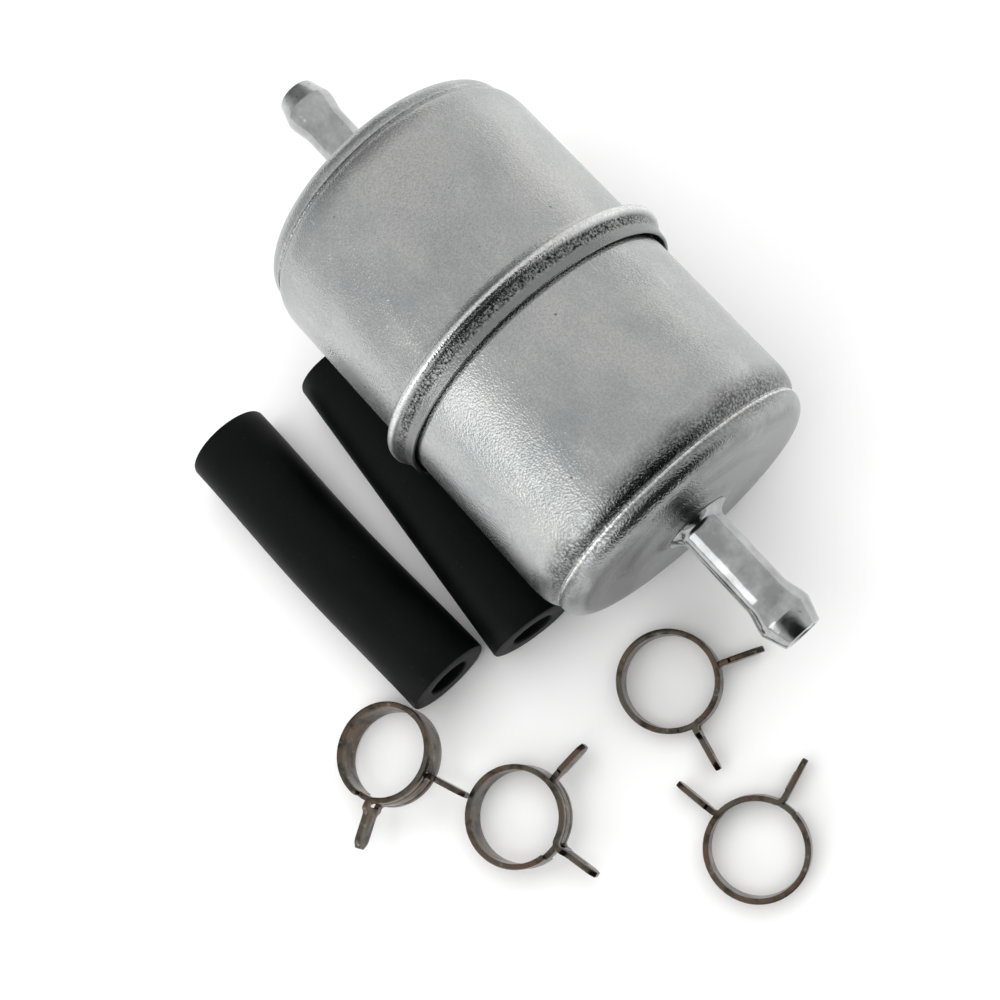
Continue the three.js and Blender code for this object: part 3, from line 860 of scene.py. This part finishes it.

# %% [markdown]
# ## Floor, light and camera
# The set lies on a plain pale sheet under soft light from all round. The room is dark
# beyond the outlet end and dimmer beyond the inlet end, which gives the satin metal its
# dark curves, together with the dark reflections painted into the can's colour. The
# camera looks almost straight down and is turned in its hand.

# %% Floor
start_piece()
bpy.ops.mesh.primitive_plane_add(size=4, location=(0, 0, 0))
floor = bpy.context.object
floor.name = "pale_sheet"
sheet, tree, place = new_material("pale_matte_sheet")
tone = add_node(tree, "TexNoise", place, per_mm(60), 2, 0.5)
base = add_node(tree, "Mix", tone, srgb("#fbfbfb"), srgb("#f7f7f7"), data_type="RGBA")
set_shader(tree, Roughness=0.9, Base_Color=base)
coat(floor, sheet)
print("laid", floor.name)

# %% Studio light
ROOM = (0.77, 0.765, 0.762, 1)
DARK = (0.02, 0.02, 0.02, 1)

world = bpy.data.worlds.new("soft_studio")
bpy.context.scene.world = world
world.use_nodes = True
tree = world.node_tree
direction = add_node(tree, "TexCoord", output="Generated")


def lobe(towards, inner, outer):
    """1 within inner degrees of a direction, fading to 0 at outer degrees from it."""
    dot = add_node(tree, "VectorMath", direction, Vector(towards).normalized(), operation="DOT_PRODUCT")
    fade = [math.cos(math.radians(angle)) for angle in (outer, inner)]
    return add_node(tree, "MapRange", dot, *fade, 0.0, 1.0)


beyond_outlet = lobe((0.85, -0.1, 0.42), 30, 48)
beyond_inlet = lobe((-0.95, 0.1, 0.3), 12, 38)
dim = add_node(tree, "Math", beyond_inlet, 0.65, operation="MULTIPLY")
light = add_node(tree, "Mix", beyond_outlet, ROOM, DARK, data_type="RGBA")
light = add_node(tree, "Mix", dim, light, DARK, data_type="RGBA")
fill(tree, tree.nodes["Background"].inputs["Color"], light)


def softbox(name, at, aim, size, watts):
    way = (Vector(aim) - Vector(at)).to_track_quat("-Z", "Y").to_euler()
    start_piece()
    bpy.ops.object.light_add(type="AREA", location=at, rotation=way)
    lamp = bpy.context.object
    lamp.name = name
    lamp.data.shape = "RECTANGLE"
    lamp.data.size, lamp.data.size_y = size
    lamp.data.energy = watts
    print("lit", name)
    return lamp


# the overhead light brightens the sheet and softens shadows, but isn't mirrored in the can
overhead = softbox(
    "overhead_softbox", at=(-0.2, 0.2, 1.1), aim=(0, 0, 0), size=(1.6, 1.6), watts=12.5)
overhead.visible_glossy = False
softbox("low_softbox", at=(0.08, -0.42, 0.24), aim=(0.02, 0, 0.02), size=(0.34, 0.34), watts=0.52)

# %% Camera
CAMERA_AT = Vector((0.0546, 0.0215, 0.2358))

lens_data = bpy.data.cameras.new("camera")
lens_data.sensor_width = 36
lens_data.lens = 61.2
lens_data.clip_start = 0.01
camera = bpy.data.objects.new("camera", lens_data)
bpy.context.scene.collection.objects.link(camera)
back = Vector((0.247, 0.077, 0.966)).normalized()
right = Vector((-0.719, 0.683, 0.129)).cross(back).normalized()
up = back.cross(right)
turn = Matrix((right, up, back)).transposed()
camera.matrix_world = Matrix.Translation(CAMERA_AT) @ turn.to_4x4()
bpy.context.scene.camera = camera
bpy.context.scene.view_settings.view_transform = "Standard"
print("camera", round(CAMERA_AT.z, 3), "m above the sheet")

# %% [markdown]
# ## Finish
# The finished shapes must fill the same box as the drawing they stand for. The last
# line leaves edit mode and clears the selection.

# %% Finish
import json

start_piece()
